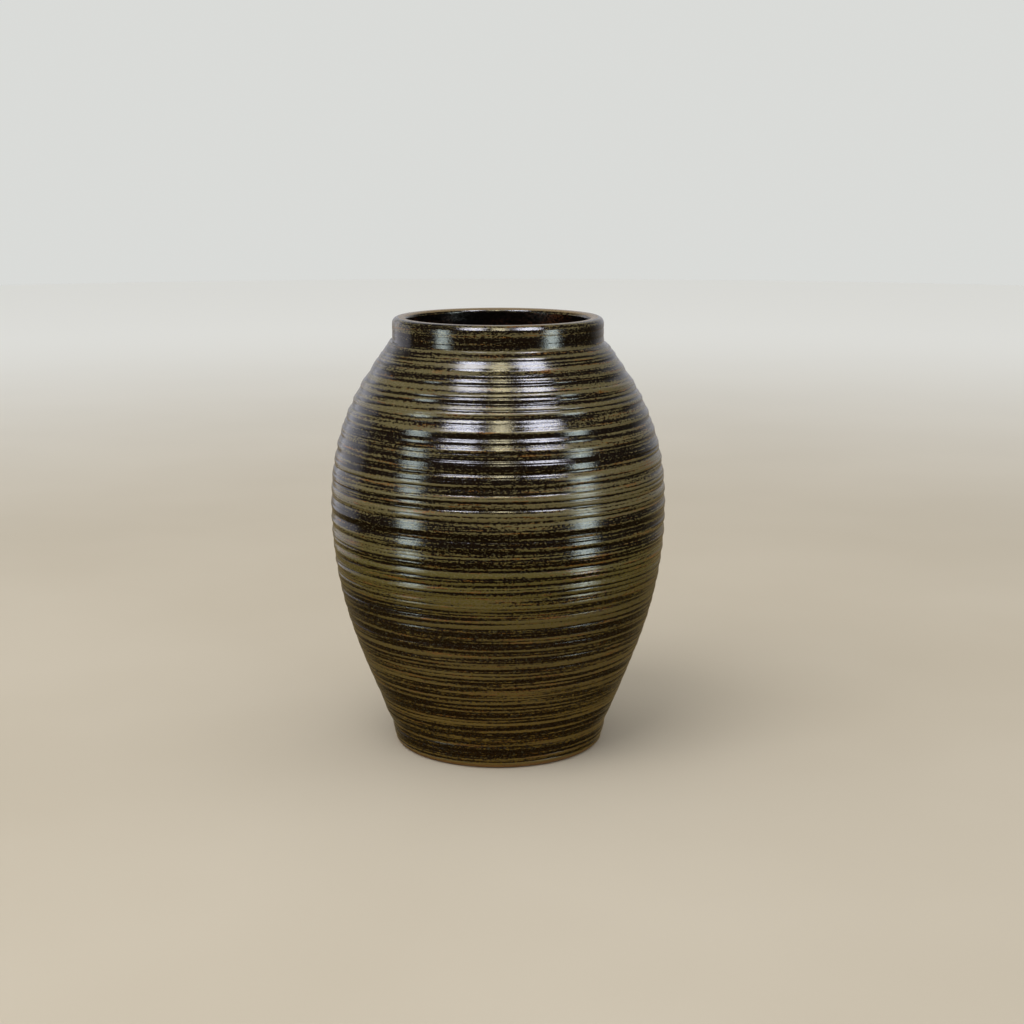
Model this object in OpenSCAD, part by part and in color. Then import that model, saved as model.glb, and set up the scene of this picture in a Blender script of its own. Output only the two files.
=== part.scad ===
// Stoneware vase: a wheel-thrown barrel jar with an upright collar and close throwing ridges.
// The clay body is built from sections that are keyed together and luted with slip. One glaze
// coat covers it outside and over the lip, and a second one lines it.
// Millimetres, +Z up. Origin: centre of the foot, on the surface that the vase stands on.
// Every radius and height in the first three sections is taken over the glaze.

/* [Overall shape] */
// Height from the table to the top of the lip
vase_h = 250; // [235:1:275]
// Radius over the crowns of the ridges at the widest point
belly_r = 97.2; // [88:0.1:104]
// Height of the widest point, where the lower and the upper wall are joined
belly_z = 139.5; // [125:0.5:150]
// Fullness of the shoulder: a higher number turns in later and faster
shoulder_power = 2.31; // [2:0.01:2.6]
// Fullness of the wall below the widest point
lower_power = 1.98; // [1.7:0.01:2.3]

/* [Collar and lip] */
// Outside radius of the upright collar
collar_r = 60.5; // [60.2:0.1:64]
// Height of the collar, lip included
collar_h = 14; // [12:0.5:18]
// How far the shoulder stands out past the collar where they meet
collar_step = 1.2; // [1:0.1:2]
// Radius of the mouth
mouth_r = 52.5; // [50:0.1:52.8]
// Rounding of the lip on its outer side
lip_outer_round = 2.8; // [2.5:0.1:4.4]
// Rounding of the lip on its inner side
lip_inner_round = 1.8; // [1.5:0.1:2.9]

/* [Foot] */
// Outside radius of the plain band at the foot
foot_r = 61.2; // [57:0.1:66]
// Height of the plain band at the foot
foot_h = 14.5; // [13:0.5:18]
// Width of the ring that the vase stands on
foot_ring_w = 9; // [7:0.5:12]
// Depth of the hollow inside the foot ring
foot_recess = 3.5; // [2.5:0.1:3.8]
// Rounding of the foot ring's outer bottom edge
foot_edge = 2.2; // [1.5:0.1:2.5]

/* [Walls and glaze] */
// Thickness of the thrown wall, measured level
wall_t = 7; // [6:0.1:8]
// Thickness of the floor
floor_t = 8; // [7:0.1:9]
// Rounding inside, where the wall meets the floor
inner_corner = 9; // [6:0.5:12]
// Thickness of the glaze
glaze_t = 0.5; // [0.3:0.1:0.7]
// Height at which the outer glaze stops, so that the vase doesn't stick to the kiln shelf
glaze_line_z = 2; // [1:0.1:2.5]

/* [Throwing ridges] */
// Height of one ridge
ridge_pitch = 8.4; // [7:0.1:12]
// Depth of the creases on the shoulder
ridge_depth = 0.9; // [0.4:0.1:1.2]
// Depth of the creases next to the foot band
ridge_depth_low = 0.4; // [0.2:0.1:0.8]
// How far a crease strays from even spacing, as the hand moves up the wall
ridge_sway = 0.9; // [0:0.1:1.2]

/* [Luted seams] */
// Thickness of the slip that joins two sections
slip_t = 0.4; // [0.3:0.1:0.6]
// Width of the tongue that keys one section into the next
key_w = 3; // [2:0.1:3.5]
// Height of that tongue
key_h = 2; // [1:0.1:2.5]

/* [Hidden] */
$fn = 128;
clay_belly_r = belly_r - glaze_t;
clay_collar_r = collar_r - glaze_t;
clay_foot_r = foot_r - glaze_t;
clay_mouth_r = mouth_r + glaze_t;
clay_shoulder_r = clay_collar_r + collar_step;
shoulder_fall = clay_belly_r - clay_shoulder_r;
foot_fall = clay_belly_r - clay_foot_r;
clay_top = vase_h - glaze_t;
collar_z = vase_h - collar_h;
// Centres of the lip's two roundings
lip_outer = [clay_collar_r - lip_outer_round, clay_top - lip_outer_round];
lip_inner = [clay_mouth_r + lip_inner_round, clay_top - lip_inner_round];
// The collar leans from the shoulder's last crease into its own radius over this height
collar_lean_h = 1.5;
// The mouth narrows from the shoulder's inside over this height
mouth_lean_h = 4;
ring_in_r = clay_foot_r - foot_ring_w;
ring_inner_bevel = 1;
// Height at which the foot ring ends and the floor's edge begins
ring_h = 5;
floor_top = foot_recess + floor_t;
// Where the rounding at the floor begins
corner_r = clay_foot_r - foot_ring_w - inner_corner;
// The band's upper edge is eased into the first crease over this height
band_ease_h = 1;
// Points along each ridge, as parts of its height, from one crease to just before the next
ridge_parts = [0, 0.15, 0.5, 0.85];
// Successive creases stray by this turn of a sine, which never repeats evenly
sway_turn = 137.5;
ridges_below = round((belly_z - foot_h) / ridge_pitch);
ridges_above = round((collar_z - belly_z) / ridge_pitch);
inner_steps = 10;
corner_steps = 6;
lip_steps = 5;
quarter_turn = 90;
half_turn = 180;
clay_colour = [0.62, 0.50, 0.38];
slip_colour = [0.72, 0.62, 0.50];
glaze_colour = [0.20, 0.16, 0.09];
liner_colour = [0.10, 0.05, 0.03];

// ---- outlines, each a list of [radius, height] points from the foot upwards ----
// "lift" moves an outline out from the clay: 0 is the clay's own surface, glaze_t the glaze over it.

// Radius of the clay over the crowns of the ridges
function crown_r(z) = z > belly_z
    ? clay_belly_r - shoulder_fall * pow((z - belly_z) / (collar_z - belly_z), shoulder_power)
    : clay_belly_r - foot_fall * pow((belly_z - z) / (belly_z - foot_h), lower_power);

function crease_depth(z) = z > belly_z
    ? ridge_depth
    : ridge_depth_low + (ridge_depth - ridge_depth_low) * (z - foot_h) / (belly_z - foot_h);

// Height of crease i of a stretch of wall with the given number of ridges
function crease_z(low, high, ridges, i) =
    low + (high - low) * i / ridges + (i == 0 || i == ridges ? 0 : ridge_sway * sin(sway_turn * i));

// Each ridge is an arch of a sine, so it is round on its crown and sharp in its creases
function ridged(low, high, ridges, lift) = [
    for (i = [0 : ridges - 1])
        let (z0 = crease_z(low, high, ridges, i), z1 = crease_z(low, high, ridges, i + 1))
            for (part = ridge_parts)
                let (z = z0 + part * (z1 - z0))
                    [crown_r(z) - crease_depth(z) * (1 - sin(half_turn * part)) + lift, z],
    [crown_r(high) - crease_depth(high) + lift, high]
];

function turned(centre, radius, from, to, steps) = [
    for (k = [0 : steps])
        let (a = from + (to - from) * k / steps)
            [centre[0] + radius * cos(a), centre[1] + radius * sin(a)]
];

belly_crease_r = crown_r(belly_z) - crease_depth(belly_z);
collar_crease_r = crown_r(collar_z) - crease_depth(collar_z);

// The points of an outline that lie between two heights
function between(outline, low, high) = [for (p = outline) if (p[1] > low && p[1] < high) p];

function reversed(outline) = [for (i = [len(outline) - 1 : -1 : 0]) outline[i]];

// The outside, from a height on the foot band, up the ridges and over the lip
function outside(low, lift) = concat(
    [[clay_foot_r + lift, low], [clay_foot_r + lift, foot_h - band_ease_h]],
    ridged(foot_h, belly_z, ridges_below, lift),
    [[belly_crease_r + lift, belly_z + slip_t]],
    between(ridged(belly_z, collar_z, ridges_above, lift), belly_z + slip_t, vase_h),
    [[collar_crease_r + lift, collar_z + slip_t]],
    [[clay_collar_r + lift, collar_z + slip_t + collar_lean_h]],
    turned(lip_outer, lip_outer_round + lift, 0, quarter_turn, lip_steps),
    turned(lip_inner, lip_inner_round + lift, quarter_turn, half_turn, lip_steps)
);

// Radius of the clay's inner surface, above the rounding at the floor
function inner_r(z) = crown_r(z) - wall_t;

// The wall leans out, so the rounding ends this much further out than a true quarter circle
corner_lean = inner_r(floor_top + inner_corner) - corner_r - inner_corner;

function inner_wall(low, high, lift) = [
    for (k = [1 : inner_steps])
        let (z = low + (high - low) * k / inner_steps)
            [inner_r(z) - lift, z]
];

// The inside, from the edge of the floor up to the lip; here "lift" moves it in from the clay
function inside(lift) = concat(
    [
        for (k = [0 : corner_steps])
            let (a = quarter_turn * k / corner_steps)
                [
                    corner_r + (inner_corner - lift) * sin(a) + corner_lean * (1 - cos(a)),
                    floor_top + inner_corner * (1 - cos(a)) + lift * cos(a)
                ]
    ],
    inner_wall(floor_top + inner_corner, belly_z, lift),
    [[inner_r(belly_z) - lift, belly_z + slip_t]],
    inner_wall(belly_z + slip_t, collar_z, lift),
    [[inner_r(collar_z) - lift, collar_z + slip_t]],
    [[clay_mouth_r - lift, collar_z + slip_t + mouth_lean_h], [clay_mouth_r - lift, lip_inner[1]]]
);

// Top edge of a section, from its outside to its inside, with the tongue in the middle
function keyed_edge(out_r, in_r, z) = let (mid = (out_r + in_r) / 2) [
    [out_r, z],
    [mid + key_w / 2, z],
    [mid, z + key_h],
    [mid - key_w / 2, z],
    [in_r, z]
];
function foot_ring_edge(z) = keyed_edge(clay_foot_r, ring_in_r, z);
function floor_edge(z) = keyed_edge(clay_foot_r, corner_r, z);
function belly_edge(z) = keyed_edge(belly_crease_r, inner_r(belly_z), z);
function collar_edge(z) = keyed_edge(collar_crease_r, inner_r(collar_z), z);

// ---- sub-parts ----

module solid_ring(colour, outline) {
    color(colour)
        rotate_extrude()
            polygon(outline);
}

// Slip that fills a keyed joint, between the edge below it and the one above
module slip_ring(edge_below, edge_above) {
    solid_ring(slip_colour, concat(edge_below, reversed(edge_above)));
}

// A section of the thrown wall, between the edges of its two joints
module wall_section(edge_below, edge_above, low, high) {
    solid_ring(clay_colour, concat(
        reversed(edge_below),
        between(outside(0, 0), low, high),
        edge_above,
        reversed(between(inside(0), low, min(high, lip_inner[1])))
    ));
}

// The ring that the vase stands on, with a tongue on its top
module foot_ring() {
    solid_ring(clay_colour, concat(
        [[ring_in_r, ring_inner_bevel], [ring_in_r + ring_inner_bevel, 0]],
        turned([clay_foot_r - foot_edge, foot_edge], foot_edge, -quarter_turn, 0, lip_steps),
        foot_ring_edge(ring_h)
    ));
}

module foot_slip() {
    slip_ring(foot_ring_edge(ring_h), foot_ring_edge(ring_h + slip_t));
}

// The floor drops into the foot ring and carries the lower wall on its rim
module floor_disc() {
    solid_ring(clay_colour, concat(
        [[0, foot_recess], [ring_in_r, foot_recess]],
        reversed(foot_ring_edge(ring_h + slip_t)),
        floor_edge(floor_top - slip_t),
        [[corner_r, floor_top], [0, floor_top]]
    ));
}

module base_slip() {
    slip_ring(floor_edge(floor_top - slip_t), floor_edge(floor_top));
}

module lower_wall() {
    wall_section(floor_edge(floor_top), belly_edge(belly_z), floor_top, belly_z);
}

module belly_slip() {
    slip_ring(belly_edge(belly_z), belly_edge(belly_z + slip_t));
}

module upper_wall() {
    wall_section(belly_edge(belly_z + slip_t), collar_edge(collar_z), belly_z + slip_t, collar_z);
}

module collar_slip() {
    slip_ring(collar_edge(collar_z), collar_edge(collar_z + slip_t));
}

// The upright collar and its rolled lip, thrown in one
module neck_collar() {
    wall_section(collar_edge(collar_z + slip_t), [], collar_z + slip_t, vase_h);
}

// One coat from just above the foot's edge, up the ridges and over the lip
module outer_glaze() {
    solid_ring(glaze_colour, concat(outside(glaze_line_z, glaze_t), reversed(outside(foot_edge, 0))));
}

// The darker glaze that was poured in and swilled round
module liner_glaze() {
    solid_ring(liner_colour, concat(
        [[0, floor_top]],
        inside(0),
        reversed(inside(glaze_t)),
        [[0, floor_top + glaze_t]]
    ));
}

foot_ring();
foot_slip();
floor_disc();
base_slip();
lower_wall();
belly_slip();
upper_wall();
collar_slip();
neck_collar();
outer_glaze();
liner_glaze();
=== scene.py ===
import math

import bmesh
import bpy
import numpy as np
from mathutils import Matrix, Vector, noise


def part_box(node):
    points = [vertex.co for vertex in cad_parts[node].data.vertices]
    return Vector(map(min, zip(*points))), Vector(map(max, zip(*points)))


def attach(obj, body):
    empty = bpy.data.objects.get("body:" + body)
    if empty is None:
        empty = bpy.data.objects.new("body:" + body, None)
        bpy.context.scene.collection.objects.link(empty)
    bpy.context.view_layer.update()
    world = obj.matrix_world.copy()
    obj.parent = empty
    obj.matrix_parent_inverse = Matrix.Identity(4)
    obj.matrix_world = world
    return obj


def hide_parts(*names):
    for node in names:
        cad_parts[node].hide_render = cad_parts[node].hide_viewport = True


# Looks of the stoneware vase. The two glaze coats and the bare clay of the foot are finer turned meshes
# that follow the outlines of the CAD nodes, with the potter's throwing marks as real relief. The clay
# and slip under the glaze stay as the CAD made them. Metres, in the CAD's own frame.

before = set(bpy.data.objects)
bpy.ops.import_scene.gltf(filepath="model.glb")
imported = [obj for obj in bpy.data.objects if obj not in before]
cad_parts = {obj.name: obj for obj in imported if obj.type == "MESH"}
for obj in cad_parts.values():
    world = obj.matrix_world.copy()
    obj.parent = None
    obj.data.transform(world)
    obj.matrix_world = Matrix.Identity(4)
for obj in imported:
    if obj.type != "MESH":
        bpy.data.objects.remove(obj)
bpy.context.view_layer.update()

MM = 0.001
TINY = 1e-6
# Faces that meet at more than this angle show an edge
SHARP_EDGE = math.radians(60)
# The UV layer of this name holds each turned piece's map for baking
BAKE_LAYER = "OFBake"
VASE_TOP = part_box("outer_glaze")[1].z
COLLAR_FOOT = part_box("neck_collar")[0].z
GLAZE_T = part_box("outer_glaze")[1].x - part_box("lower_wall")[1].x


# ---- turned outlines: arrays of (radius, height) rows, anticlockwise with the axis on the left ----

def cad_outline(node):
    """The outline of a CAD node, walked along the edge where its turned surface closes, at y = 0.

    A ring's outline is a loop that starts at its lowest, outermost point. A disc's runs from axis to axis,
    and its flat faces, which have no point of their own on the axis, are carried on to it.
    """
    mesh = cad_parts[node].data
    seam = {}
    for vertex in mesh.vertices:
        if abs(vertex.co.y) < TINY and vertex.co.x > -TINY:
            seam[vertex.index] = (round(vertex.co.x, 7), round(vertex.co.z, 7))
    linked = {}
    for edge in mesh.edges:
        a, b = (seam.get(i) for i in edge.vertices)
        if a and b and a != b:
            linked.setdefault(a, set()).add(b)
            linked.setdefault(b, set()).add(a)
    ends = [point for point in linked if len(linked[point]) == 1]
    path = [min(ends or linked, key=lambda point: (point[1], -point[0]))]
    while True:
        onward = linked[path[-1]] - set(path)
        if not onward:
            break
        path.append(max(onward))
    if ends and path[0][0] > TINY:
        path.insert(0, (0, path[0][1]))
    if ends and path[-1][0] > TINY:
        path.append((0, path[-1][1]))
    return np.array(path)


def resampled(path, spacing):
    """The same line in rows about `spacing` apart, its first and last points kept."""
    along = np.concatenate([[0], np.cumsum(np.hypot(*np.diff(path, axis=0).T))])
    at = np.linspace(0, along[-1], max(2, round(along[-1] / spacing) + 1))
    return np.column_stack([np.interp(at, along, path[:, 0]), np.interp(at, along, path[:, 1])])


def softened(path, passes):
    """Rounds the corners between rows, as a finger and melting glaze do."""
    path = path.copy()
    for _ in range(passes):
        path[1:-1] = (path[:-2] + 2 * path[1:-1] + path[2:]) / 4
    return path


def outward(path):
    """Unit normals of an outline."""
    tangent = np.gradient(path, axis=0)
    tangent /= np.maximum(np.hypot(*tangent.T), TINY)[:, None]
    return np.column_stack([tangent[:, 1], -tangent[:, 0]])


def crown_line(path):
    """Radius at each row of a line stretched over the crowns of the ridges, from the foot to the lip."""
    crowns = []
    for radius, height in path:
        while len(crowns) > 1:
            (r1, z1), (r2, z2) = crowns[-2:]
            if (r2 - r1) * (height - z2) > (radius - r2) * (z2 - z1):
                break
            crowns.pop()
        crowns.append((radius, height))
    crowns = np.array(crowns)
    return np.interp(path[:, 1], crowns[:, 1], crowns[:, 0])


def gap_between(path, under):
    """How far each row of an outline is from another outline."""
    fine_step = 0.1 * MM
    dense = resampled(under, fine_step)
    return np.array([np.hypot(*(dense - row).T).min() for row in path])


# ---- turned pieces ----

def angles(segments):
    """The angle of each segment about the axis, from +X, in radians."""
    return np.arange(segments) * 2 * math.pi / segments


def noise_sheet(heights, segments, turns, rise, seed):
    """Smooth noise, about -1 to 1, as rows x segments: slow around the axis, in lumps `rise` high."""
    around = [(turns * math.cos(turn), turns * math.sin(turn)) for turn in angles(segments)]
    return np.array([[noise.noise(Vector((x, y, height / rise + seed))) for x, y in around]
                     for height in heights])


def turned_piece(name, path, segments, offset, marks=None, out_of_sight=()):
    """A turned mesh through the rows of an outline, moved by `offset` along its normals.

    marks gives point attributes by name. They and offset are rows x segments, or one number for each row.
    The rows in out_of_sight get little of the bake's map. An outline from axis to axis makes a disc.
    """
    disc = path[0][0] < TINY
    normals = outward(path)
    sheet = np.zeros((len(path), segments))
    radius = path[:, :1] + normals[:, :1] * offset + sheet
    height = path[:, 1:] + normals[:, 1:] * offset + sheet
    turn = angles(segments)
    places = np.stack([radius * np.cos(turn), radius * np.sin(turn), height], axis=2).reshape(-1, 3)
    lower = np.arange(len(path) - 1 if disc else len(path))
    faces, unwrapped = [], []
    map_height = map_heights(path, lower, out_of_sight)
    for row in lower:
        above = (row + 1) % len(path)
        for segment in range(segments):
            beside = (segment + 1) % segments
            faces.append((row * segments + segment, row * segments + beside,
                          above * segments + beside, above * segments + segment))
            left, right = segment / segments, (segment + 1) / segments
            low, high = map_height[row], map_height[row + 1]
            unwrapped += [left, low, right, low, right, high, left, high]
    mesh = bpy.data.meshes.new(name)
    mesh.from_pydata(places, [], faces)
    for mark, numbers in (marks or {}).items():
        mesh.attributes.new(mark, "FLOAT", "POINT").data.foreach_set("value", (numbers + sheet).ravel())
    mesh.uv_layers.new(name=BAKE_LAYER).data.foreach_set("uv", unwrapped)
    mesh.polygons.foreach_set("use_smooth", [True] * len(faces))
    mesh.set_sharp_from_angle(angle=SHARP_EDGE)
    if disc:
        close_on_axis(mesh)
    piece = bpy.data.objects.new(name, mesh)
    bpy.context.scene.collection.objects.link(piece)
    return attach(piece, "root")


def map_heights(path, lower, out_of_sight):
    """Where each row lies in the bake's map, from 0 to 1, by distance along the outline."""
    squeeze = 0.1
    steps = np.array([math.dist(path[row], path[(row + 1) % len(path)]) for row in lower])
    steps[[row for row in out_of_sight if row < len(steps)]] *= squeeze
    along = np.concatenate([[0], np.cumsum(steps)])
    return along / along[-1]


def close_on_axis(mesh):
    """Joins the points of the rows that lie on the axis into one."""
    work = bmesh.new()
    work.from_mesh(mesh)
    bmesh.ops.remove_doubles(work, verts=work.verts, dist=TINY)
    work.to_mesh(mesh)
    work.free()


# ---- the outer glaze ----

# How dark the glaze is, from olive at 0 to near-black at 1 and over, at parts of the vase's height. It was
# dipped and poured in overlapping coats, so it broke into these bands.
GLAZE_BANDS = [
    (0.000, 0.30), (0.022, 0.42), (0.034, 0.70), (0.046, 0.66), (0.056, 0.40), (0.070, 0.56),
    (0.104, 0.64), (0.116, 0.40), (0.132, 0.46), (0.145, 0.68), (0.165, 0.60), (0.185, 0.52),
    (0.230, 0.54), (0.250, 0.52), (0.285, 0.62), (0.300, 0.78), (0.340, 0.62), (0.376, 0.50),
    (0.440, 0.36),
    (0.488, 0.20), (0.494, 0.66), (0.506, 0.46), (0.525, 0.50), (0.545, 0.62), (0.560, 0.70),
    (0.590, 0.62), (0.604, 0.36), (0.640, 0.36), (0.655, 0.54), (0.690, 0.64), (0.730, 0.76),
    (0.780, 0.76), (0.795, 0.54), (0.862, 0.50), (0.880, 0.58), (0.905, 0.50), (0.918, 0.42),
    (0.945, 0.48), (0.952, 1.18), (0.962, 1.06), (0.970, 0.92), (0.980, 0.94), (0.986, 1.00),
    (0.992, 0.72), (1.000, 0.80),
]
# Grooves that the fingertip left on the ridges: (pitch, depth, where in the noise)
FINE_GROOVES = ((3.8 * MM, 0.28 * MM, 5), (2.3 * MM, 0.16 * MM, 8))
# Single deeper grooves on the shoulder, at parts of the vase's height
SHOULDER_GROOVES = (0.922, 0.866, 0.810, 0.756)
SHOULDER_GROOVE_DEPTH, SHOULDER_GROOVE_HALF_WIDTH = 0.36 * MM, 2.2 * MM


def groove_lines(heights, segments, pitch, seed):
    """1 along thin lines about `pitch` apart, which wander and fade as they go round, and 0 between."""
    drift = noise_sheet(heights, segments, turns=0.4, rise=4 * pitch, seed=seed) * 0.9 * pitch
    turn = 2 * math.pi * (heights[:, None] + drift) / pitch
    fade = 0.75 + 0.9 * noise_sheet(heights, segments, turns=0.8, rise=1.5 * pitch, seed=seed + 30)
    return (0.5 + 0.5 * np.cos(turn)) ** 4 * np.clip(fade, 0, 1.2)


def finger_marks(heights, depth, wall_count, on_wall, segments):
    """How far the coat stands out from its outline, and its fine grooves from 0 to 1, as rows x segments.

    depth is how far each row lies in from the crowns of the ridges, and the first wall_count rows are the
    wall's. The creases wander up and down and fade in and out as they go round, and they are softer towards
    the foot.
    """
    wander = noise_sheet(heights, segments, turns=0.9, rise=22 * MM, seed=3) * 1.1 * MM
    swell = noise_sheet(heights, segments, turns=0.8, rise=9 * MM, seed=11) * 0.45
    moved = np.interp(heights[:, None] + wander, heights[:wall_count], depth[:wall_count])
    firm = np.interp(heights / VASE_TOP, (0.05, 0.36, 0.48), (0.35, 0.55, 1))[:, None]
    offset = depth[:, None] - moved * (1 + swell) * firm
    fine = np.zeros_like(offset)
    for pitch, deep, seed in FINE_GROOVES:
        lines = groove_lines(heights, segments, pitch, seed)
        offset -= deep * lines
        fine = np.maximum(fine, lines)
    for part in SHOULDER_GROOVES:
        away = (heights[:, None] + wander - part * VASE_TOP) / SHOULDER_GROOVE_HALF_WIDTH
        offset -= SHOULDER_GROOVE_DEPTH * np.cos(np.clip(away, -1, 1) * math.pi / 2) ** 2
    # The collar was smoothed with a rib, and its glaze is mottled instead of lined
    offset[~on_wall] *= 0.35
    fine[~on_wall] *= 0.3
    return offset, fine


def glaze_tone(heights, segments):
    """How dark the glaze is, as rows x segments: the bands, with a wobble and a mottle, and painted shade
    and light on the shoulder.
    """
    wobble = noise_sheet(heights, segments, turns=1.3, rise=30 * MM, seed=20) * 2.0 * MM
    mottle = noise_sheet(heights, segments, turns=2.2, rise=14 * MM, seed=25) * 0.10
    at, dark = np.array(GLAZE_BANDS).T
    tone = np.interp((heights[:, None] + wobble) / VASE_TOP, at, dark) + mottle
    # Painted shade and light: the shoulder is darker at its front, -Y, towards the camera, and lighter
    # round its sides
    painted_front_shade, painted_side_light, narrow = 0.22, 0.09, 8
    front = np.clip(-np.sin(angles(segments)), 0, 1) ** narrow
    on_shoulder = np.interp(heights / VASE_TOP, (0.62, 0.67, 0.88, 0.94), (0, 1, 1, 0))[:, None]
    return tone + on_shoulder * (painted_front_shade * front - painted_side_light)


def on_inner_lip(path):
    """1 from the lip's crest inwards, falling to 0 over its outer side, just below the crest."""
    crest = path[np.argmax(path[:, 1])]
    start, fall = 0.7 * MM, 0.4 * MM
    outside = np.maximum(path[:, 0] - crest[0], 0) + np.maximum(VASE_TOP - start - path[:, 1], 0)
    return np.exp(-outside / fall)


def make_outer_glaze():
    """The coat from just above the foot's edge, up the ridges and over the lip."""
    segments, wall_rows, lip_rows = 120, 0.45 * MM, 0.35 * MM
    outline = cad_outline("outer_glaze")
    rim = int(np.argmin(outline[:, 0])) + 1
    shown, under = outline[:rim], outline[rim:]
    neck = int(np.argmax(shown[:, 1] > COLLAR_FOOT))
    wall = softened(resampled(shown[:neck + 1], wall_rows), passes=4)
    lip = softened(resampled(shown[neck:], lip_rows), passes=1)
    shown = np.vstack([wall, lip[1:]])
    heights = shown[:, 1]
    depth = np.maximum(crown_line(shown) - shown[:, 0], 0)
    on_wall = (heights < COLLAR_FOOT) & (np.arange(len(shown)) < len(wall))
    depth[~on_wall] = 0

    offset, fine = finger_marks(heights, depth, len(wall), on_wall, segments)
    # The coat stays inside the crowns of the ridges, and clear of the clay under it
    clearance = 0.10 * MM
    spare = clearance - gap_between(shown, under)[:, None]
    offset = np.clip(offset, spare, np.maximum(depth[:, None], spare))
    crease = np.clip((depth[:, None] - offset) / (0.9 * MM), 0, 1)
    # Glaze runs thin over the lip's inner half and at its own lower edge
    thin = np.maximum(np.exp(-(heights - heights[0]) / (0.5 * MM)), on_inner_lip(shown))[:, None]

    hidden = np.zeros((len(under), segments))
    marks = {"tone": glaze_tone(heights, segments), "crease": crease, "fine": fine, "thin": thin}
    marks = {mark: np.vstack([numbers + np.zeros_like(fine), hidden]) for mark, numbers in marks.items()}
    path = np.vstack([shown, under])
    piece = turned_piece("outer_glaze_coat", path, segments, np.vstack([offset, hidden]), marks,
                         out_of_sight=range(len(shown), len(path)))
    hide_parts("outer_glaze")
    return piece


# ---- the liner and the bare clay of the foot ----

def make_liner():
    """The darker glaze inside, over the soft rings that the inner hand left."""
    segments, rows = 144, 1.1 * MM
    outline = cad_outline("liner_glaze")
    rim = int(np.nonzero(outline[:, 1] > outline[:, 1].max() - TINY)[0][-1])
    under, shown = outline[:rim], outline[rim:]
    shown = softened(resampled(shown, rows), passes=2)
    heights = shown[:, 1]
    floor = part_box("liner_glaze")[0].z + 2 * GLAZE_T
    reach = np.clip((VASE_TOP - heights) / (12 * MM), 0, 1)[:, None]
    # The inner hand's rings on the wall, and the spiral it left on the floor
    rings = noise_sheet(heights, segments, turns=0.5, rise=5.5 * MM, seed=40)
    spiral = np.sin(shown[:, :1] * 2 * math.pi / (7 * MM) + angles(segments))
    spiral *= np.clip(shown[:, :1] / (6 * MM), 0, 1)
    on_floor = (heights < floor)[:, None]
    offset = np.where(on_floor, 0.25 * MM * spiral, 0.45 * MM * rings)
    offset = np.clip(offset * reach, -0.35 * MM, 0.6 * MM)
    path = np.vstack([under, shown])
    offset = np.vstack([np.zeros((len(under), segments)), offset])
    piece = turned_piece("liner_glaze_coat", path, segments, offset, out_of_sight=range(len(under)))
    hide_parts("liner_glaze")
    return piece


def make_foot_piece(node, name, rows, depth):
    """Bare clay that was trimmed on the wheel: the tool left fine rings on it."""
    segments = 144
    outline = cad_outline(node)
    closed = outline[0][0] > TINY
    loop = np.vstack([outline, outline[:1]]) if closed else outline
    path = softened(resampled(loop, rows), passes=1)
    path = path[:-1] if closed else path
    along = np.arange(len(path)) * rows
    cut = 1 - np.abs(noise_sheet(along, segments, turns=0.3, rise=1.6 * MM, seed=60))
    offset = -depth * cut ** 3 * np.clip(path[:, :1] / (3 * MM), 0, 1)
    toast = np.clip(path[:, 0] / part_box("foot_ring")[1].x, 0, 1)[:, None] ** 6
    piece = turned_piece(name, path, segments, offset, marks={"toast": toast})
    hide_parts(node)
    return piece


# ---- materials ----

class Nodes:
    """Adds nodes to a tree. Its methods return the socket that each gives out."""

    def __init__(self, tree):
        self.tree = tree

    def node(self, kind, **settings):
        node = self.tree.nodes.new(kind)
        for setting, value in settings.items():
            setattr(node, setting, value)
        return node

    def feed(self, value, socket):
        """Puts a socket's output, or a plain number or colour, into an input."""
        if isinstance(value, bpy.types.NodeSocket):
            self.tree.links.new(value, socket)
        else:
            socket.default_value = (*value, 1) if isinstance(value, tuple) else value

    def blend(self, share, below, above):
        """One colour over another, by a share from 0 to 1."""
        mix = self.node("ShaderNodeMix", data_type="RGBA")
        self.feed(share, mix.inputs["Factor"])
        self.feed(below, mix.inputs[6])
        self.feed(above, mix.inputs[7])
        return mix.outputs[2]

    def share(self, value, none, full):
        """How far a value has come from `none` to `full`, from 0 to 1."""
        part = self.node("ShaderNodeMapRange", interpolation_type="SMOOTHSTEP")
        part.inputs["From Min"].default_value = none
        part.inputs["From Max"].default_value = full
        self.feed(value, part.inputs["Value"])
        return part.outputs["Result"]


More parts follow.
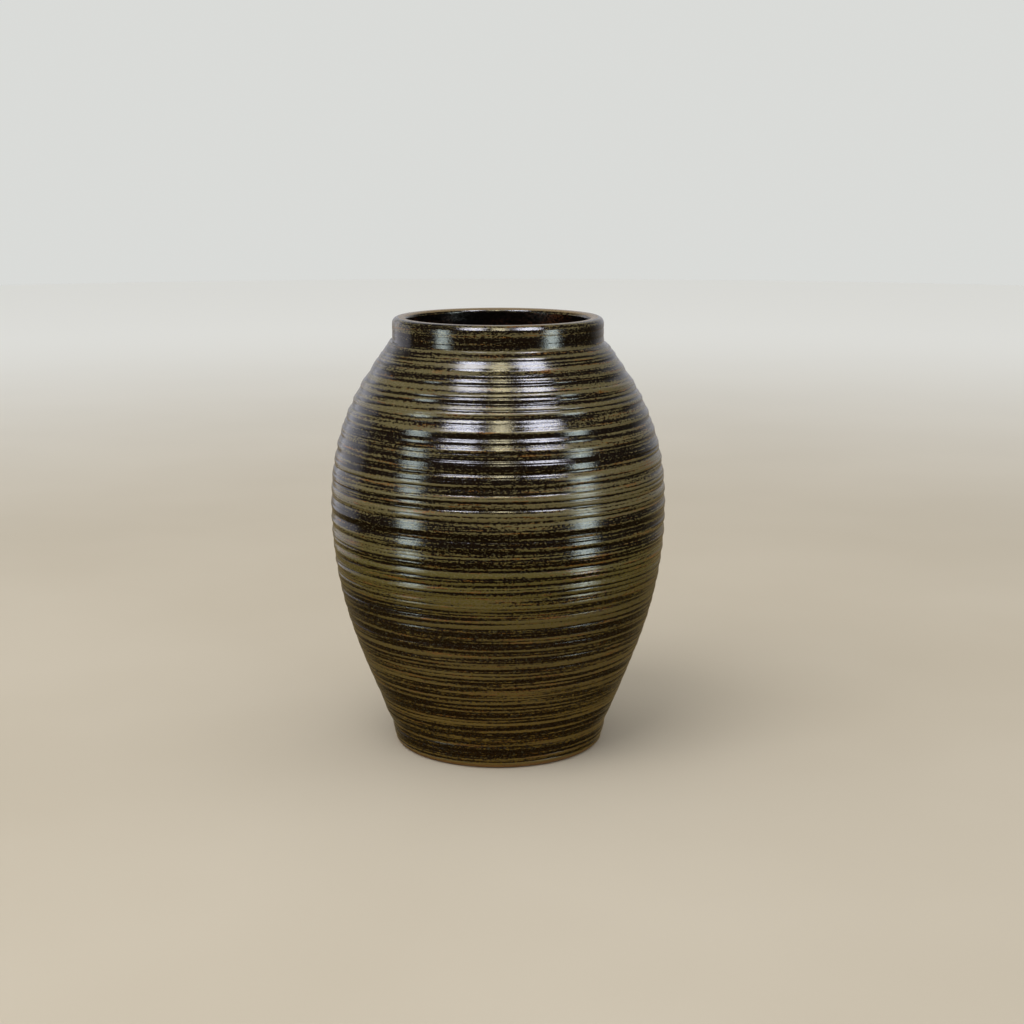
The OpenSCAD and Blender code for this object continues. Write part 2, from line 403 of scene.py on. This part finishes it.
class Finish(Nodes):
    """One material. Heights and widths are in metres on the object."""

    def __init__(self, name, **sockets):
        self.material = bpy.data.materials.new(name)
        self.material.use_nodes = True
        super().__init__(self.material.node_tree)
        self.surface = self.tree.nodes["Principled BSDF"]
        for socket, value in sockets.items():
            self.surface.inputs[socket.replace("_", " ")].default_value = value
        self.place = self.node("ShaderNodeTexCoord").outputs["Object"]

    def mark(self, name):
        return self.node("ShaderNodeAttribute", attribute_name=name).outputs["Fac"]

    def height(self):
        split = self.node("ShaderNodeSeparateXYZ")
        self.feed(self.place, split.inputs["Vector"])
        return split.outputs["Z"]

    def lumps(self, width, height, detail=2.0, shift=0.0):
        """Noise whose lumps are about `width` across and `height` high, spread round 0.5."""
        stretch = self.node("ShaderNodeMapping")
        stretch.inputs["Scale"].default_value = (1 / width, 1 / width, 1 / height)
        stretch.inputs["Location"].default_value = (shift, shift, shift)
        self.feed(self.place, stretch.inputs["Vector"])
        texture = self.node("ShaderNodeTexNoise")
        texture.inputs["Scale"].default_value = 1
        texture.inputs["Detail"].default_value = detail
        self.feed(stretch.outputs["Vector"], texture.inputs["Vector"])
        return texture.outputs["Fac"]

    def sum(self, *terms):
        """Adds (socket, factor, middle) terms: factor times how far the socket is over the middle."""
        total = -sum(factor * middle for _, factor, middle in terms)
        for socket, factor, _ in terms:
            step = self.node("ShaderNodeMath", operation="MULTIPLY_ADD")
            self.feed(socket, step.inputs[0])
            step.inputs[1].default_value = factor
            self.feed(total, step.inputs[2])
            total = step.outputs["Value"]
        return total

    def ramp(self, value, *stops):
        """A colour or a grey from a value, by (place, colour or number) stops."""
        ramp = self.node("ShaderNodeValToRGB")
        elements = ramp.color_ramp.elements
        while len(elements) < len(stops):
            elements.new(0.5)
        for element, (place, colour) in zip(elements, stops):
            element.position = place
            element.color = (*colour, 1) if isinstance(colour, tuple) else (colour, colour, colour, 1)
        self.feed(value, ramp.inputs["Fac"])
        return ramp.outputs["Color"]

    def bump(self, height, depth, strength=1.0):
        bump = self.node("ShaderNodeBump")
        bump.inputs["Strength"].default_value = strength
        bump.inputs["Distance"].default_value = depth
        self.feed(height, bump.inputs["Height"])
        self.feed(bump.outputs["Normal"], self.surface.inputs["Normal"])

    def colour(self, value):
        self.feed(value, self.surface.inputs["Base Color"])

    def roughness(self, value):
        self.feed(value, self.surface.inputs["Roughness"])


# Olive glaze by parts of the vase's height, with painted light and shade in it: amber at the foot is
# painted warm light bounced up from below, darker on the lower belly is painted shade, and paler and
# greener towards the shoulder is painted light
OLIVES_WITH_PAINTED_LIGHT = (
    (0.10, (0.142, 0.092, 0.018)), (0.28, (0.122, 0.088, 0.024)), (0.40, (0.105, 0.078, 0.018)),
    (0.47, (0.104, 0.085, 0.024)), (0.62, (0.130, 0.108, 0.047)), (0.95, (0.114, 0.095, 0.043)),
)
RUST = (0.200, 0.084, 0.014)
IRON_BLACK = (0.0075, 0.0034, 0.0012)
# Painted warm bounce light: the near-black glaze is blended to this brown towards the foot
IRON_BROWN_WITH_PAINTED_BOUNCE = (0.0150, 0.0060, 0.0008)
GREY_OLIVE = (0.050, 0.045, 0.024)
THIN_ON_LIP = (0.215, 0.155, 0.082)
THIN_AT_FOOT = (0.190, 0.092, 0.016)
# The liner, from its near-black pools to where it lies thin
LINER_BROWNS = ((0.42, (0.003, 0.002, 0.001)), (0.56, (0.007, 0.003, 0.002)), (0.70, (0.040, 0.014, 0.005)))
CLAY, TOASTED_CLAY = (0.30, 0.19, 0.105), (0.190, 0.092, 0.018)
SLIP, TOASTED_SLIP = (0.36, 0.25, 0.16), (0.22, 0.13, 0.07)
IRON_SPECK = (0.035, 0.018, 0.010)


def outer_glaze_finish():
    """Iron glaze that broke into olive and near-black: long streaks with ragged, flecked edges."""
    finish = Finish("outer_glaze_finish", IOR=1.5)
    height = finish.height()
    fleck = finish.lumps(1.9 * MM, 0.75 * MM, detail=3, shift=3)
    grain = finish.lumps(0.8 * MM, 0.5 * MM, detail=2, shift=7)
    dark = finish.sum(
        (finish.mark("tone"), 1.0, 0),
        (finish.mark("fine"), 0.66, 0.30),
        (finish.mark("crease"), 0.16, 0.25),
        (finish.lumps(170 * MM, 2.2 * MM, detail=1), 1.4, 0.5),
        (finish.lumps(45 * MM, 1.6 * MM, shift=5), 0.9, 0.5),
        (fleck, 1.3, 0.5),
        (grain, 0.9, 0.5),
    )
    cover = finish.share(dark, 0.39, 0.64)
    # The olive gets painted light and shade by height: painted warm bounce at the foot, paler towards the
    # shoulder
    olive_with_painted_light = finish.ramp(finish.sum((height, 1 / VASE_TOP, 0)), *OLIVES_WITH_PAINTED_LIGHT)
    # Rust shows where the olive thins out at the edge of a dark streak
    patches = finish.lumps(24 * MM, 1.4 * MM, shift=15)
    rust = finish.sum((patches, 1, 0), (fleck, 0.5, 0.5), (dark, 0.35, 0.35))
    light = finish.blend(finish.share(rust, 0.58, 0.74), olive_with_painted_light, RUST)
    # Painted warm light bounced up from below: the near-black glaze turns brown towards the foot
    iron_with_painted_bounce = finish.blend(finish.share(height, 0.50 * VASE_TOP, 0.25 * VASE_TOP), IRON_BLACK, IRON_BROWN_WITH_PAINTED_BOUNCE)
    speckle = finish.share(finish.lumps(1.7 * MM, 0.7 * MM, detail=2, shift=19), 0.58, 0.68)
    body = finish.blend(cover, light, finish.blend(speckle, iron_with_painted_bounce, GREY_OLIVE))
    towards_lip = finish.share(height, 0.1 * VASE_TOP, 0.9 * VASE_TOP)
    thin_glaze = finish.blend(towards_lip, THIN_AT_FOOT, THIN_ON_LIP)
    thin = finish.sum((finish.mark("thin"), 1, 0), (fleck, -0.8, 0.5))
    finish.colour(finish.blend(finish.share(thin, 0.15, 0.85), body, thin_glaze))
    # Crystals grew in the olive, so it is duller than the glassy dark glaze, and so is the lower wall
    low = finish.share(height, 0.48 * VASE_TOP, 0.36 * VASE_TOP)
    dull = finish.sum((cover, -0.4, 1), (grain, 1.5, 0.5), (fleck, 1.7, 0.5), (finish.mark("thin"), 0.5, 0),
                      (low, 0.4, 0))
    finish.roughness(finish.ramp(dull, (0.0, 0.09), (1.0, 0.42)))
    finish.bump(finish.sum((fleck, 0.8, 0.5), (grain, 1.0, 0.5), (cover, -0.3, 0)), 0.07 * MM, 0.8)
    return finish.material


def liner_finish():
    """Dark red-brown glaze that pooled, with small flecks."""
    finish = Finish("liner_glaze_finish", IOR=1.5)
    fleck = finish.lumps(1.6 * MM, 1.2 * MM, detail=3)
    pool = finish.lumps(26 * MM, 9 * MM, detail=3, shift=4)
    finish.colour(finish.ramp(finish.sum((pool, 1.0, 0), (fleck, 0.7, 0.5)), *LINER_BROWNS))
    finish.roughness(finish.ramp(fleck, (0.3, 0.12), (0.7, 0.26)))
    finish.bump(fleck, 0.05 * MM, 0.5)
    return finish.material


def stoneware_finish(name, pale, toasted, grog_size):
    """Bare fired clay: grog and iron specks, toasted brown where it was near the glaze."""
    finish = Finish(name, IOR=1.45)
    mottle = finish.lumps(14 * MM, 10 * MM, detail=4)
    grog = finish.lumps(grog_size, grog_size, detail=2, shift=2)
    specks = finish.ramp(finish.lumps(1.3 * MM, 1.3 * MM, shift=9), (0.66, 0.0), (0.72, 1.0))
    clay = finish.blend(finish.sum((finish.mark("toast"), 0.9, 0), (mottle, 0.8, 0.5)), pale, toasted)
    grainy = finish.blend(finish.ramp(grog, (0.35, 0.25), (0.65, 0.0)), clay, toasted)
    finish.colour(finish.blend(specks, grainy, IRON_SPECK))
    finish.roughness(finish.ramp(grog, (0.3, 0.72), (0.7, 0.9)))
    finish.bump(finish.sum((grog, 1.0, 0.5), (mottle, 0.4, 0.5)), 0.12 * MM, 0.6)
    return finish.material


def dress(piece, material):
    piece.data.materials.clear()
    piece.data.materials.append(material)


def dress_cad(node, material):
    """Gives a CAD node its finish through its object's own slots, so that its mesh stays as it was."""
    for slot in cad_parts[node].material_slots:
        slot.link = "OBJECT"
        slot.material = material


# ---- the vase ----

clay = stoneware_finish("stoneware_finish", CLAY, TOASTED_CLAY, grog_size=0.6 * MM)
slip = stoneware_finish("slip_finish", SLIP, TOASTED_SLIP, grog_size=0.3 * MM)
dress(make_outer_glaze(), outer_glaze_finish())
dress(make_liner(), liner_finish())
dress(make_foot_piece("foot_ring", "trimmed_foot_ring", rows=0.5 * MM, depth=0.10 * MM), clay)
dress(make_foot_piece("floor_disc", "trimmed_floor_disc", rows=1.2 * MM, depth=0.25 * MM), clay)
for node in ("lower_wall", "upper_wall", "neck_collar"):
    dress_cad(node, clay)
for node in ("foot_slip", "base_slip", "belly_slip", "collar_slip"):
    dress_cad(node, slip)


# ---- studio ----

def make_floor():
    """A plain floor, warm beige round the vase and paler far away, where it meets the backdrop."""
    radius, segments = 4.0, 96
    mesh = bpy.data.meshes.new("floor")
    work = bmesh.new()
    bmesh.ops.create_circle(work, cap_ends=True, radius=radius, segments=segments)
    work.to_mesh(mesh)
    work.free()
    floor = bpy.data.objects.new("floor", mesh)
    bpy.context.scene.collection.objects.link(floor)
    finish = Finish("floor_finish", Specular_IOR_Level=0)
    distance = finish.node("ShaderNodeVectorMath", operation="LENGTH")
    finish.feed(finish.place, distance.inputs[0])
    near = finish.ramp(finish.lumps(400 * MM, 400 * MM, detail=3),
                       (0.35, (0.54, 0.48, 0.39)), (0.65, (0.58, 0.52, 0.43)))
    far = (0.90, 0.90, 0.88)
    finish.colour(finish.blend(finish.share(distance.outputs["Value"], 0.35, 2.6), near, far))
    finish.roughness(finish.ramp(finish.lumps(20 * MM, 20 * MM), (0.3, 0.75), (0.7, 0.9)))
    dress(floor, finish.material)
    floor.visible_glossy = False


COOL, LAVENDER, WARM = (0.86, 1.0, 0.97), (0.86, 0.87, 1.0), (1.0, 0.90, 0.60)
# Panels that show only as reflections in the gloss: two windows at the sides, three strips over the
# camera that make the lobes on the shoulder, and a pale wall behind on the left. Each is a name, azimuth
# and elevation in degrees, distance, width, height, watts and colour.
REFLECTED_PANELS = (
    ("window_left", -60, 6, 1.5, 0.36, 0.80, 6.5, COOL),
    ("window_right", 59, 5, 1.5, 0.36, 0.80, 8, COOL),
    ("strip_left", -33, 52, 1.6, 0.50, 0.62, 19.5, LAVENDER),
    ("strip_right", 42, 52, 1.6, 0.54, 0.62, 20.5, LAVENDER),
    ("strip_centre", 3, 52, 1.6, 0.28, 0.62, 7, WARM),
    ("wall_left", -128, 5, 1.5, 1.1, 1.0, 2.2, LAVENDER),
)


def make_light(name, azimuth, elevation, distance, width, height, watts, colour, in_gloss):
    """A panel that faces the middle of the vase. It shows only in the gloss, or it gives only soft light.

    Azimuth 0 is the camera's side, -Y, and +90 is +X.
    """
    middle = Vector((0, 0, VASE_TOP / 2))
    turn, tilt = math.radians(azimuth), math.radians(elevation)
    away = Vector((math.sin(turn) * math.cos(tilt), -math.cos(turn) * math.cos(tilt), math.sin(tilt)))
    data = bpy.data.lights.new(name, "AREA")
    data.shape, data.size, data.size_y = "RECTANGLE", width, height
    data.energy, data.color = watts, colour
    light = bpy.data.objects.new(name, data)
    light.location = middle + away * distance
    light.rotation_euler = (-away).to_track_quat("-Z", "Y").to_euler()
    light.visible_camera = False
    light.visible_diffuse, light.visible_glossy = not in_gloss, in_gloss
    bpy.context.scene.collection.objects.link(light)


# What the gloss sees of the room: dim in front, and pale beyond the vase
ROOM, PALE_ROOM = (0.050, 0.047, 0.040), (0.60, 0.60, 0.64)
GROUND, PALE_GROUND = (0.045, 0.032, 0.010), (0.24, 0.18, 0.09)
# What lights the scene from all sides, and what the camera sees past the floor
EVEN_LIGHT, BACKDROP = (0.78, 0.78, 0.76), (0.70, 0.71, 0.69)


def make_world():
    """Even soft light and a pale backdrop. The gloss sees a dim room, which is paler beyond the vase."""
    world = bpy.data.worlds.new("studio")
    world.use_nodes = True
    bpy.context.scene.world = world
    nodes = Nodes(world.node_tree)
    direction = nodes.node("ShaderNodeSeparateXYZ")
    nodes.feed(nodes.node("ShaderNodeTexCoord").outputs["Generated"], direction.inputs["Vector"])
    rays = nodes.node("ShaderNodeLightPath")
    behind = nodes.share(direction.outputs["Y"], 0.45, 0.95)
    room = nodes.blend(behind, ROOM, PALE_ROOM)
    ground = nodes.blend(behind, GROUND, PALE_GROUND)
    seen_in_gloss = nodes.blend(nodes.share(direction.outputs["Z"], 0.05, -0.25), room, ground)
    light = nodes.blend(rays.outputs["Is Diffuse Ray"], seen_in_gloss, EVEN_LIGHT)
    shown = nodes.blend(rays.outputs["Is Camera Ray"], light, BACKDROP)
    nodes.feed(shown, world.node_tree.nodes["Background"].inputs["Color"])


def make_camera():
    """The photograph's viewing angle: from a little higher than the mouth, looking slightly down."""
    data = bpy.data.cameras.new("camera")
    data.lens, data.sensor_width = 60.19, 36
    camera = bpy.data.objects.new("camera", data)
    camera.location = (0.008, -0.980, 0.3375)
    camera.rotation_euler = (math.radians(78.37), 0, 0)
    bpy.context.scene.collection.objects.link(camera)
    bpy.context.scene.camera = camera


make_floor()
for panel in REFLECTED_PANELS:
    make_light(*panel, in_gloss=True)
make_light("key", -35, 55, 1.8, 1.2, 1.2, 14, (1.0, 0.98, 0.94), in_gloss=False)
make_world()
make_camera()
bpy.context.scene.view_settings.view_transform = "Standard"
